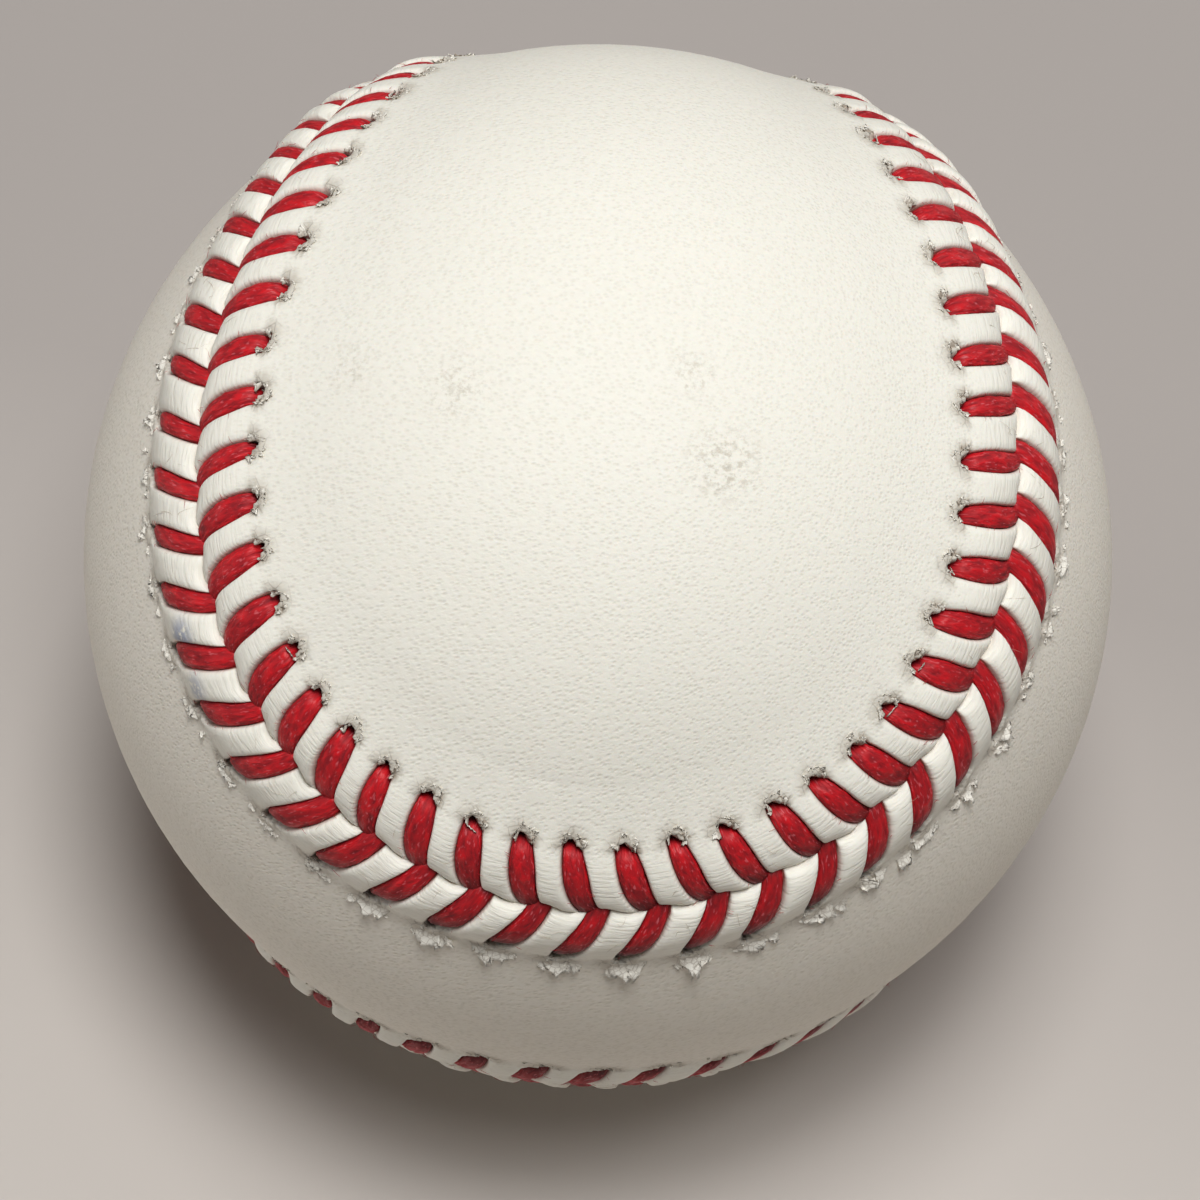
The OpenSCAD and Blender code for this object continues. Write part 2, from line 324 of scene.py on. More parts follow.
# How much the leather between the legs puckers, in mm
PUCKER = 0.05
# How much greyer and coarser the plain leather of each panel is: partly another hide,
# partly painted shade on the ball's lower front
GREY_HIDE_AND_SHADE = {TOP: 0.0, FRONT: 0.2}
# How far ahead the stitches have crept, in stitches, along the seam
CREEP = [(81, 0.05), (94, 0.01), (106, -0.02), (125, -0.28), (144, -0.54), (152, -0.38), (168, -0.08),
         (189, 0.05)]
# How much farther out the front panel's holes lie, in mm, along the seam
LONGER = [(81, 0.9), (87, 0.95), (89.5, 0.9), (91.5, 0.4), (93, 0.05), (95, 0), (99, 0), (102, 0.5),
          (104, 0.9), (108, 0.9), (118, 0.5), (180, 0.5), (189, 0.9)]
# Height of the front panel's pillows and legs as a share of the plain height, along the seam
FLATTER = [(81, 1), (112, 1), (122, 0.78), (154, 0.78), (166, 1), (189, 1)]
# How much wider the legs are, along the seam
GIRTH = {
    TOP: [(81, 0.88), (84, 0.92), (87, 1.08), (91, 0.97), (97, 1), (103, 0.95), (106, 0.82),
          (110, 0.84), (118, 1), (180, 1), (189, 0.88)],
    FRONT: [(81, 0.82), (84.5, 0.85), (87, 1.04), (92, 1), (102, 1), (105, 1.1), (110, 1.1),
            (118, 1), (180, 1), (189, 0.82)],
}
# The parting line sways towards the top panel at each stitch, which is felt up to 1.8 mm
# away. It also wanders in two slow waves. Each has a length and a place, both in stitches,
# where it is farthest from the top panel
SWAY = 0.22
SWAY_END = 1.8
WANDER = 0.28
WAVES = [(36, 99), (STITCHES, 94.5)]

# No two stitches are quite alike
chance = np.random.default_rng(88)
hole_shift = {side: chance.normal(0, 0.022, STITCHES) for side in (TOP, FRONT)}
hole_out = {side: chance.normal(0, 0.1, STITCHES) for side in (TOP, FRONT)}
leg_girth = {side: chance.normal(1, 0.05, STITCHES) for side in (TOP, FRONT)}
tip_shift = chance.normal(0, 0.02, STITCHES)
pillow_swell = {side: chance.normal(1.13, 0.06, STITCHES) for side in (TOP, FRONT)}
pillow_tilt = {side: chance.normal(0, 0.07, STITCHES) for side in (TOP, FRONT)}


def leg_centre(side, k, distance):
    """Place along the seam, in stitches, of leg k at a distance from the parting line."""
    k = np.asarray(k)
    near = np.clip(1 - distance / HOLE_ROW, 0, 1)
    jitter = hole_shift[side][k % STITCHES] * (1 - near) + tip_shift[k % STITCHES] * near
    drift = along_seam(CREEP, k)
    return k + FIRST_STITCH + drift + jitter + fair(LEG_LINE[side], distance)


def flatness(side, k):
    """How flat the front panel's pillows and legs lie round the underside."""
    k = np.asarray(k)
    return np.ones(k.shape) if side == TOP else along_seam(FLATTER, k)


def pillow_height(side, k, distance):
    """Height of the pillows beside leg k, in mm, at a distance from the parting line."""
    return fair(PILLOW_TOP[side], distance) * flatness(side, k)


def leg_half(side, k, distance):
    """Half width of leg k along the seam, in mm."""
    k = np.asarray(k) % STITCHES
    return leg_girth[side][k] * along_seam(GIRTH[side], k) * fair(LEG_HALF_WIDTH[side], distance)


def seam_shift(side, stitch, distance):
    """How far the parting line and what is near it lie towards the top panel, in mm."""
    sway = SWAY * np.cos(2 * math.pi * (stitch - FIRST_STITCH - 0.6))
    sway = sway * np.clip(1 - distance / SWAY_END, 0, 1)
    wander = -WANDER * sum(np.cos(2 * math.pi * (stitch - far) / length) for length, far in WAVES)
    longer = along_seam(LONGER, stitch) * np.clip(distance / HOLE_ROW, 0, 1)
    longer = 0 if side == TOP else longer * np.clip((WANDER_END - distance) / 2.8, 0, 1)
    return sway - longer + wander * np.clip((WANDER_END - distance) / 2.5, 0, 1)


# The mesh: rows of the sewn band by distance from the parting line, columns from one leg to
# the next, where the columns even out, and the facets of the plain leather and the lining
ROWS = np.array([0.01, 0.01, 0.015, 0.035, 0.09, 0.19, 0.35, 0.56, 0.8, 1.05, 1.35, 1.7, 2.1, 2.5, 2.9,
                 3.3, 3.65, 3.95, 4.2, 4.4, 4.58, 4.74, 4.89, 5.03, 5.17, 5.31, 5.46, 5.64, 5.86,
                 6.15, 6.6, 7.2, 7.9])
COLUMNS = 15
BLEND_FROM, BLEND_TO = 5.4, 7.6
FACET = 2.2
LINING_FACET = 5


def panel_band(side):
    """The sewn edge of a panel: rows away from the parting line, columns that follow the legs."""
    d = ROWS[:, None]
    k = np.arange(STITCHES)[None, :]
    half = leg_half(side, k, d) + SIDE_GAP
    half_next = leg_half(side, k + 1, d) + SIDE_GAP
    centre = leg_centre(side, k, d)
    gap = (leg_centre(side, k + 1, d) - centre) * PITCH
    right = [half * f for f in (-0.55, 0, 0.55, 1)] + [half + e for e in (0.03, 0.11, 0.25)]
    left = [gap - half_next - e for e in (0.25, 0.11, 0.03, 0)]
    between = [right[-1] + (left[0] - right[-1]) * f for f in (0.2, 0.4, 0.6, 0.8)]
    x = np.stack(np.broadcast_arrays(*(right + between + left)), -1)
    even = (np.arange(COLUMNS) - 1) / COLUMNS * PITCH
    spread = np.clip((d - BLEND_FROM) / (BLEND_TO - BLEND_FROM), 0, 1)[..., None]
    spread = spread * spread * (3 - 2 * spread)
    x = x * (1 - spread) + even * spread
    stitch = centre[..., None] * (1 - spread) + (k + FIRST_STITCH)[..., None] * spread + x / PITCH

    # Distance of each point from the edge of the nearer leg, square to the leg
    edge = np.minimum(x - half[..., None], gap[..., None] - half_next[..., None] - x)
    edge = np.where(np.arange(COLUMNS) < 3, np.abs(x) - half[..., None], edge)
    lean = (leg_centre(side, k, d + 0.05) - leg_centre(side, k, d - 0.05)) / 0.1 * PITCH
    edge = edge / np.sqrt(1 + lean * lean)[..., None]
    roll = np.clip(edge / SHOULDER, 0, 1)
    roll = np.sqrt(1 - (1 - roll) ** 2)
    middle = np.clip(x / gap[..., None], 0, 1)
    bulge = pillow_swell[side][k][..., None] - 1 + pillow_tilt[side][k][..., None] * (2 * middle - 1)
    swell = 1 + bulge * np.sin(math.pi * middle)
    flat = flatness(side, k)[..., None]
    crown = fair(PILLOW_TOP[side], ROWS)[:, None, None] * swell * flat
    under = np.clip(-edge / 0.25, 0, 1)
    leg_top = fair(LEG_TOP[side], ROWS)[:, None, None] * flat
    floor = np.maximum(leg_top - LEG_THICKNESS * (0.5 + 0.35 * under), DEEPEST)
    shallow = crown - SHALLOW - DEEPENING * np.clip(d[..., None] / DEEPENS_OVER, 0, 1)
    floor = np.maximum(floor, shallow) * (1 - under) + floor * under
    beyond = np.where(x < gap[..., None] / 2, x / half[..., None],
                      (x - gap[..., None]) / half_next[..., None])
    slant = END_SLANT[side] * (np.clip(beyond, -1, 1) + 1) / 2
    fade = np.clip((LEG_END[side] - slant - d[..., None]) / 0.35, 0, 1)
    height = crown - (crown - floor) * (1 - roll) * fade

    # The pit where the awl went through, the torn leather round it and the pocket beside it
    reach, pocket = 9.0, 9.0
    for step in (0, 1):
        hole = leg_centre(side, k + step, HOLE_ROW)[..., None] + PIT_AHEAD[side] / PITCH
        outward = d[..., None] - PIT_PLACE[side] - hole_out[side][(k + step) % STITCHES][..., None]
        ahead = (stitch - hole) * PITCH
        reach = np.minimum(reach, np.hypot(ahead, outward))
        pocket = np.minimum(pocket, np.hypot((ahead - 0.6) / 0.75, (outward - 0.15) / 0.6))
    reach = reach + chance.normal(0, 0.05, reach.shape)
    pit = np.exp(-(reach / PIT_RADIUS[side]) ** 4)
    height = height - (height + PIT_DEPTH[side]) * pit
    torn = np.exp(-((reach - 0.8) / 0.5) ** 2) * np.clip((d[..., None] - HOLE_ROW + 0.5) / 0.3, 0, 1)
    height = height + torn * (0.05 + chance.normal(0, 0.04, height.shape))
    ragged = chance.normal(0, 0.12, pocket.shape)
    pocket = POCKET[side] * np.exp(-(pocket + ragged) ** 4) * roll
    height = height - POCKET_DEPTH * pocket
    torn = np.maximum(0.45 * torn, pocket)
    pucker = PUCKER * chance.normal(0, 0.35, height.shape)
    height = height + pucker * np.clip(1 - d[..., None] / 5, 0, 1) * roll

    height[0] = -LEATHER
    height[1] = np.minimum(height[1], -0.4)
    distance = np.broadcast_to(d[..., None], stitch.shape)
    beside = side * distance + seam_shift(side, stitch, distance)
    # Painted shade in the grooves beside the legs and along the parting line, tinted by red dye from the
    # thread
    groove_shade_and_dye = np.clip((1 - roll) * fade * 1.5 - 0.5, 0, 1) + 0.15 * np.clip(1 - distance / 0.12, 0, 1)
    hide_and_shade = np.full(stitch.shape, GREY_HIDE_AND_SHADE[side]) * np.clip((distance - 4.6) / 1.2, 0, 1)
    marks = {"torn": torn, "groove_shade_and_dye": np.clip(groove_shade_and_dye, 0, 1), "pit": pit, "ahead": stitch * PITCH,
             "beside": distance, "hide_and_shade": hide_and_shade}
    shape = (len(ROWS), STITCHES * COLUMNS)
    return [v.reshape(shape) for v in (stitch, beside, height)], marks


def zip_rows(a, b):
    """Triangles between two open rows of point numbers, whatever their counts."""
    faces, i, j = [], 0, 0
    while i < len(a) - 1 or j < len(b) - 1:
        if j == len(b) - 1 or (i < len(a) - 1 and (i + 1) * (len(b) - 1) <= (j + 1) * (len(a) - 1)):
            faces.append((a[i], a[i + 1], b[j]))
            i += 1
        else:
            faces.append((a[i], b[j + 1], b[j]))
            j += 1
    return faces


def fill_panel(points, faces, ring, ring_stitch, beside, radius, group, facet, side):
    """Closes a panel inside a ring of points with arcs that span it from edge to edge."""
    count = len(ring) // group
    first = sum(len(p) for p in points)
    stations = np.arange(first, first + count)
    where = ring_stitch[::group]
    edge = on_ball(where, beside, radius - BALL_RADIUS)
    points.append(edge)
    for i in range(count):
        after = (i + 1) % count
        own = [ring[(group * i + c) % len(ring)] for c in range(group + 1)]
        faces += [(own[c], own[c + 1], stations[i]) for c in range(group)]
        faces.append((own[group], stations[after], stations[i]))
    middle = LOBE_END[side] * STITCHES
    start = int(np.floor((middle - where[0]) * count / STITCHES))
    rung = None
    for i in range(count // 2):
        left, right = (start - i) % count, (start + 1 + i) % count
        span = np.linalg.norm(edge[right] - edge[left])
        parts = 1 if i in (0, count // 2 - 1) else 2 * math.ceil(span / facet / 2)
        angle = 2 * math.asin(span / 2 / radius)
        share = np.arange(1, parts)[:, None] / parts
        inner = edge[left] * np.sin((1 - share) * angle) + edge[right] * np.sin(share * angle)
        inner = inner / math.sin(angle)
        first = sum(len(p) for p in points)
        points.append(inner)
        ids = [stations[left]] + list(range(first, first + parts - 1)) + [stations[right]]
        if rung:
            faces += zip_rows(rung, ids)
        rung = ids


def make_mesh(name, points, faces, marks=None):
    """A smooth closed mesh object from points in mm, with its faces turned outwards."""
    data = bpy.data.meshes.new(name)
    data.from_pydata(np.concatenate([p.reshape(-1, 3) for p in points]) * MM, [], faces)
    tidy = bmesh.new()
    tidy.from_mesh(data)
    bmesh.ops.recalc_face_normals(tidy, faces=tidy.faces)
    tidy.to_mesh(data)
    tidy.free()
    data.polygons.foreach_set("use_smooth", [True] * len(data.polygons))
    for mark, values in (marks or {}).items():
        filled = np.full(len(data.vertices), values.ravel()[-1], np.float32)
        filled[:values.size] = values.ravel()
        data.attributes.new(mark, "FLOAT", "POINT").data.foreach_set("value", filled)
    made = bpy.data.objects.new(name, data)
    bpy.context.scene.collection.objects.link(made)
    return made


def leather_panel(name, side):
    """One figure-eight panel: sewn band, plain leather and lining."""
    (stitch, beside, height), marks = panel_band(side)
    rows, columns = stitch.shape
    points = [on_ball(stitch, beside, height).reshape(-1, 3)]
    faces = []
    for r in range(rows - 1):
        a = r * columns
        faces += [(a + c, a + (c + 1) % columns, a + columns + (c + 1) % columns, a + columns + c)
                  for c in range(columns)]
    last = (rows - 1) * columns
    fill_panel(points, faces, list(range(last, last + columns)), stitch[-1], side * BAND_END,
               BALL_RADIUS, COLUMNS // 3, FACET, side)
    fill_panel(points, faces, list(range(columns)), stitch[0], side * LINING_EDGE,
               LINING_RADIUS, COLUMNS, LINING_FACET, side)
    return make_mesh(name, points, faces, marks)


LEATHER_WHITE = "#f7f4e9"
LEATHER_SHADE = "#f1eee2"
LEATHER_GREYER = "#decbbc"
DENT_SHADE = "#cac2b0"
LEATHER_GROOVE_SHADE_AND_DYE = "#8d5145"
# The pits' colour is painted shade in the holes
PIT_SHADE = "#2b1c17"
LEATHER_TORN = "#9c8d7a"
LEATHER_CRACK = "#6b5a4e"
SCUFF = "#aea28d"
INK_STAIN = "#8390b0"
LEATHER_IOR = 1.45
# Sizes of the grain's dents, the wrinkles, the torn cells and the specks in a scuff. Real
# pores are about 0.1 mm across, too fine to show, and are drawn three times as coarse
GRAIN = 0.3 * MM
WRINKLE = 0.2 * MM
TORN_CELL = 0.9 * MM
SPECK = 0.5 * MM
# Scuffs on the top lobe and a faint blue stain on the left pillows: middle and reach, in mm,
# and strength
SCUFFS = [((-10, -8.5, 35), 3.4, 0.35), ((7.5, -12.5, 34.5), 3.6, 0.5), ((5, -7, 36), 2.4, 0.35),
          ((-17, -6, 32.5), 2.6, 0.3)]
STAINS = [((-27, -19.2, 18.8), 1.9, 0.8), ((-26.4, -20.1, 18.6), 0.9, 1.2),
          ((-25.9, -22.2, 17), 1.7, 0.55)]


def spots(tree, place, where):
    """How strongly a few soft-edged spots cover a place, from 0 to 1."""
    total = None
    for middle, reach, amount in where:
        far = add(tree, "VectorMath", {0: place, 1: [m * MM for m in middle]}, operation="DISTANCE")
        spot = add(tree, "MapRange", {0: far.outputs["Value"], 1: reach * MM, 2: 0.2 * reach * MM,
                                      3: 0.0, 4: amount}, interpolation_type="SMOOTHSTEP")
        if total is None:
            total = spot.outputs[0]
        else:
            total = add(tree, "Math", {0: total, 1: spot.outputs[0]}, operation="MAXIMUM").outputs[0]
    return total


def cover_leather():
    """Alum-tanned leather, ironed smooth: satin ivory with rows of tiny grain dents."""
    made, tree, shader = new_material("alum_tanned_leather")
    place = add(tree, "TexCoord").outputs["Object"]
    cloud = add(tree, "TexNoise", {"Vector": place, "Scale": 1 / (16 * MM), "Detail": 3.0})
    tone = add(tree, "Mix", {0: cloud.outputs[0], 6: linear(LEATHER_WHITE), 7: linear(LEATHER_SHADE)},
               data_type="RGBA").outputs[2]
    hide_and_shade = add(tree, "Attribute", attribute_name="hide_and_shade").outputs["Fac"]
    # The front panel's plain leather is greyer: partly another hide, partly painted shade on the ball's
    # lower front
    tone = add(tree, "Mix", {0: hide_and_shade, 6: tone, 7: linear(LEATHER_GREYER)}, data_type="RGBA").outputs[2]
    speck = add(tree, "TexNoise", {"Vector": place, "Scale": 1 / SPECK, "Detail": 4.0, "Roughness": 0.7})
    for where, colour, sparse in ((SCUFFS, SCUFF, 0.5), (STAINS, INK_STAIN, 0.36)):
        specks = add(tree, "MapRange", {0: speck.outputs[0], 1: sparse, 2: sparse + 0.12})
        spot = add(tree, "Math", {0: spots(tree, place, where), 1: specks.outputs[0]}, operation="MULTIPLY")
        tone = add(tree, "Mix", {0: spot.outputs[0], 6: tone, 7: linear(colour)},
                   data_type="RGBA").outputs[2]

    # Grain dents drawn out on a slant, and wrinkles along the seam where the leather is pulled
    drawn = add(tree, "Mapping", {"Vector": place, "Rotation": (0, -0.6, 0),
                                  "Scale": (1.7 * GRAIN, 0.9 * GRAIN, 0.9 * GRAIN)}, vector_type="TEXTURE")
    dent = add(tree, "TexVoronoi", {"Vector": drawn.outputs[0], "Scale": 1.0, "Randomness": 0.9})
    dents = add(tree, "MapRange", {0: dent.outputs["Distance"], 1: 0.1, 2: 0.5})
    hide_grain = add(tree, "TexNoise", {"Vector": drawn.outputs[0], "Scale": 1.0, "Detail": 2.0})
    grained = add(tree, "MapRange", {0: hide_grain.outputs[0], 1: 0.35, 2: 0.65})
    plain = add(tree, "Mix", {0: 0.3, 2: dents.outputs[0], 3: grained.outputs[0]})
    ahead = add(tree, "Attribute", attribute_name="ahead").outputs["Fac"]
    beside = add(tree, "Attribute", attribute_name="beside").outputs["Fac"]
    sewn = add(tree, "CombineXYZ", {"X": ahead, "Y": beside})
    pulled = add(tree, "Mapping", {"Vector": sewn.outputs[0], "Scale": (0.7, MM / WRINKLE, 1.0)})
    wrinkle = add(tree, "TexNoise", {"Vector": pulled.outputs[0], "Scale": 1.0, "Detail": 2.0})
    wrinkles = add(tree, "MapRange", {0: wrinkle.outputs[0], 1: 0.34, 2: 0.56, 3: 0.3, 4: 1.0})
    near = add(tree, "MapRange", {0: beside, 1: 3.0, 2: 4.8, 3: 1.0, 4: 0.0})
    relief = add(tree, "Mix", {0: near.outputs[0], 2: plain.outputs[0], 3: wrinkles.outputs[0]})

    # Painted shade darkens the grain dents and the hollows of the wrinkles, more so on the front panel's
    # greyer leather
    shade = add(tree, "MapRange", {0: relief.outputs[0], 3: 0.28, 4: 0.0})
    coarse = add(tree, "Math", {0: hide_and_shade, 1: 3.0, 2: 1.0}, operation="MULTIPLY_ADD")
    shade = add(tree, "Math", {0: shade.outputs[0], 1: coarse.outputs[0]}, operation="MULTIPLY")
    tone = add(tree, "Mix", {0: shade.outputs[0], 6: tone, 7: linear(DENT_SHADE)},
               data_type="RGBA").outputs[2]

    # Torn leather with cracks between its cells, and painted shade in the grooves, the parting
    # line and the pits
    torn = add(tree, "Attribute", attribute_name="torn").outputs["Fac"]
    cell = add(tree, "TexVoronoi", {"Vector": place, "Scale": 1 / TORN_CELL}, feature="DISTANCE_TO_EDGE")
    crack = add(tree, "MapRange", {0: cell.outputs["Distance"], 1: 0.012, 2: 0.06, 3: 0.9, 4: 0.0})
    split = add(tree, "Math", {0: crack.outputs[0], 1: torn}, operation="MULTIPLY")
    tone = add(tree, "Mix", {0: torn, 6: tone, 7: linear(LEATHER_TORN)}, data_type="RGBA").outputs[2]
    tone = add(tree, "Mix", {0: split.outputs[0], 6: tone, 7: linear(LEATHER_CRACK)},
               data_type="RGBA").outputs[2]
    for mark, colour in (("groove_shade_and_dye", LEATHER_GROOVE_SHADE_AND_DYE), ("pit", PIT_SHADE)):
        amount = add(tree, "Attribute", attribute_name=mark).outputs["Fac"]
        tone = add(tree, "Mix", {0: amount, 6: tone, 7: linear(colour)}, data_type="RGBA").outputs[2]
    fine = add(tree, "TexNoise", {"Vector": place, "Scale": 1 / GRAIN, "Detail": 3.0})
    height = add(tree, "Math", {0: fine.outputs[0], 1: 0.4, 2: relief.outputs[0]}, operation="MULTIPLY_ADD")
    bump = add(tree, "Bump", {"Height": height.outputs[0], "Strength": 0.8, "Distance": 0.045 * MM})
    feed(tree, shader, {"Base Color": tone, "Normal": bump.outputs[0], "Roughness": 0.66,
                        "IOR": LEATHER_IOR, "Subsurface Weight": 0.08, "Subsurface Scale": 1.0,
                        "Subsurface Radius": (1.2 * MM, 0.8 * MM, 0.5 * MM)})
    return made


leather = cover_leather()
for panel_name, side, node_name in (("top_panel", TOP, "cover_panel_top"),
                                    ("front_panel", FRONT, "cover_panel_front")):
    panel = leather_panel(panel_name, side)
    panel.data.materials.append(leather)
    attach(panel, "root")
    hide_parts(node_name)


# The torn edges of the holes
# The awl and the pull of the thread tear the leather's skin round each hole. Small ragged
# flaps stand up there, pale and fibrous, grey-brown where they join the pit.
FLAP_ROWS, FLAP_COLUMNS = 5, 9
FLAP_THICKNESS = 0.07
# How much narrower a flap's tip is cut at its sides
BLUNT = {TOP: 0.6, FRONT: 0.3}
# How large the flakes on the front panel are, along the seam
FLAKE_SIZE = [(81, 0.8), (88, 0.8), (92, 1.2), (99, 1.2), (104, 0.8), (112, 0.7), (122, 0.4), (154, 0.4),
              (166, 0.7), (189, 0.8)]


def flap_plan(side, size):
    """The flaps at a hole.

    Each has a place ahead of the pit and outwards, a turn, a length, a width, a rise and a
    paleness. The top panel's holes have a brown flap in the pocket, at times a pale fibre
    across, and a ring of small flaps. The front panel's have a wide pale flake and chips.
    """
    if side == TOP:
        yield (0.35, 0.0, chance.normal(0.8, 0.2), chance.uniform(0.8, 1.1), chance.uniform(0.8, 1.2),
               0.02, -0.1)
        if chance.uniform() < 0.2:
            yield (0.2, -0.3, 1.57 + chance.normal(0, 0.15), 0.15, chance.uniform(0.8, 1.1), 0.1, 1.1)
        for turn in np.linspace(0.1, 2.9, 7):
            turn = turn + chance.normal(0, 0.15)
            root = 0.62 - 0.12 * math.cos(2 * turn)
            yield (0.3 + root * math.cos(turn), 0.05 + root * math.sin(turn), turn + chance.normal(0, 0.35),
                   chance.uniform(0.2, 0.8), chance.uniform(0.35, 0.8), chance.uniform(0.05, 0.4), 0.9)
    else:
        yield (chance.normal(0.3, 0.12), 0.34, 1.57 + chance.normal(0, 0.18),
               chance.uniform(0.9, 1.4) * size, chance.uniform(1.3, 2.1) * size,
               chance.uniform(0.1, 0.25), 1.3)
        for ahead in (-0.6, 0.2, 1.1):
            yield (ahead + chance.normal(0, 0.25), 0.6 + chance.normal(0, 0.2),
                   1.57 + chance.normal(0, 0.6), chance.uniform(0.4, 1.1) * size,
                   chance.uniform(0.6, 1.1) * size, chance.uniform(0.1, 0.35), 1.25)
        yield (-0.15, 0.15, chance.normal(2.2, 0.3), chance.uniform(0.2, 0.4), 0.4, 0.2, 1.1)


def torn_flaps():
    """Thin jagged flaps of split leather round all holes."""
    points, faces, depth = [], [], []
    along = np.linspace(0, 1, FLAP_ROWS)[:, None]
    across = np.linspace(-1, 1, FLAP_COLUMNS)[None, :]
    grid = np.arange(FLAP_ROWS * FLAP_COLUMNS).reshape(FLAP_ROWS, FLAP_COLUMNS)
    under = grid + grid.size
    rim = list(grid[0, :-1]) + list(grid[:-1, -1]) + list(grid[-1, :0:-1]) + list(grid[:0:-1, 0])
    sheet = []
    for r in range(FLAP_ROWS - 1):
        for c in range(FLAP_COLUMNS - 1):
            sheet.append((grid[r, c], grid[r, c + 1], grid[r + 1, c + 1], grid[r + 1, c]))
            sheet.append((under[r, c], under[r + 1, c], under[r + 1, c + 1], under[r, c + 1]))
    for i, a in enumerate(rim):
        b = rim[(i + 1) % len(rim)]
        sheet.append((a, a + grid.size, b + grid.size, b))
    run = 0
    for side in (TOP, FRONT):
        for k in range(STITCHES):
            stitch = float(leg_centre(side, k, HOLE_ROW)) + PIT_AHEAD[side] / PITCH
            shift = float(seam_shift(side, stitch, HOLE_ROW))
            size = float(along_seam(FLAKE_SIZE, k))
            for place_ahead, place_out, turn, reach, width, rise, pale in flap_plan(side, size):
                jag = chance.uniform(0.65, 1.0, FLAP_COLUMNS) * (1 - BLUNT[side] * across[0] ** 2)
                length = along * reach * (1 - along * (1 - jag))
                narrow = chance.uniform(0.1, 0.6)
                crumple = 0.035 + 0.025 * width
                lateral = (across * width / 2 * (1 - narrow * along)
                           + chance.normal(0, crumple, (FLAP_ROWS, FLAP_COLUMNS)))
                curl = chance.uniform(-0.05, 0.3)
                ahead = place_ahead + math.cos(turn) * length - math.sin(turn) * lateral
                out = place_out + math.sin(turn) * length + math.cos(turn) * lateral
                d = PIT_PLACE[side] + hole_out[side][k] + out
                rooted = 0.14 if pale > 0.5 else 0.7
                height = (fair(PILLOW_TOP[side], d) + 0.03 + length * (rise + curl * length)
                          - rooted * (1 - along) ** 2)
                height = height + chance.normal(0, crumple, (FLAP_ROWS, FLAP_COLUMNS)) * along
                underside = height - FLAP_THICKNESS * (1.2 - along)
                top = on_ball(stitch + ahead / PITCH, side * d + shift, height)
                bottom = on_ball(stitch + ahead / PITCH, side * d + shift, underside)
                points += [top.reshape(-1, 3), bottom.reshape(-1, 3)]
                faces += [tuple(int(i) + run for i in f) for f in sheet]
                depth += [np.broadcast_to(along * pale, top.shape[:2]).ravel()] * 2
                run += 2 * grid.size
    return make_mesh("torn_hole_edges", points, faces, {"tip": np.concatenate(depth)})


FLAP_PALE = "#f7f3e8"
FLAP_GREY = "#93826f"
FLAP_FIBRE = 0.18 * MM
FLAP_CELL = 0.45 * MM


def split_leather():
    """The leather's torn inside: dry, matte, fibrous, pale at the tips and grey-brown at the root."""
    made, tree, shader = new_material("torn_split_leather")
    place = add(tree, "TexCoord").outputs["Object"]
    tip = add(tree, "Attribute", attribute_name="tip")
    fibre = add(tree, "TexNoise", {"Vector": place, "Scale": 1 / FLAP_FIBRE, "Detail": 3.0})
    pale = add(tree, "Math", {0: fibre.outputs[0], 1: 0.7, 2: tip.outputs["Fac"]}, operation="MULTIPLY_ADD")
    tone = add(tree, "Mix", {0: pale.outputs[0], 6: linear(FLAP_GREY), 7: linear(FLAP_PALE)},
               data_type="RGBA")
    cell = add(tree, "TexVoronoi", {"Vector": place, "Scale": 1 / FLAP_CELL}, feature="DISTANCE_TO_EDGE")
    crack = add(tree, "MapRange", {0: cell.outputs["Distance"], 1: 0.02, 2: 0.09, 3: 0.4, 4: 0.0})
    tone = add(tree, "Mix", {0: crack.outputs[0], 6: tone.outputs[2], 7: linear(FLAP_GREY)},
               data_type="RGBA")
    bump = add(tree, "Bump", {"Height": fibre.outputs[0], "Strength": 0.7, "Distance": 0.06 * MM})
    feed(tree, shader, {"Base Color": tone.outputs[2], "Normal": bump.outputs[0], "Roughness": 0.85,
                        "IOR": LEATHER_IOR})
    return made


flaps = torn_flaps()
flaps.data.materials.append(split_leather())
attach(flaps, "root")


# The thread
# One waxed red thread of twisted cotton closes the seam in 108 double stitches. Each leg
# comes up through its hole, lies flat in its groove between two pillows and goes down
# into the parting line, where it meets the leg from the other panel in a V.
THREAD_RED = "#d21420"
THREAD_DEEP = "#7a0c18"
THREAD_IN_SHADE = "#2a0507"
THREAD_GLINT = "#e07078"
THREAD_IOR = 1.54
# The mesh of a leg: rings along it, those of them at each end, and sides above and below
RINGS, END_RINGS = 30, 8
UPPER_SIDES, LOWER_SIDES = 18, 5
# The plies show as low slanting grooves
PLIES = 7
PLY_LAY = 1.3
PLY_GROOVE = 0.05
# Painted shade on the legs, by distance from the parting line, and its strength along the seam,
# most at the ball's lower front and underneath
LEG_SHADE = {TOP: [(0, 0.62), (0.6, 0.5), (1.4, 0.28), (2.6, 0.12), (4, 0.04)],
        FRONT: [(0, 0.35), (0.7, 0.2), (1.8, 0.18), (2.6, 0.28), (3.6, 0.55), (4.8, 0.9)]}
LEG_SHADE_ALONG_SEAM = [(81, 0.4), (88, 0.5), (93, 1.5), (99, 1.5), (104, 0.5), (114, 0.5), (124, 1.1), (152, 1.1),
           (164, 0.5), (189, 0.4)]


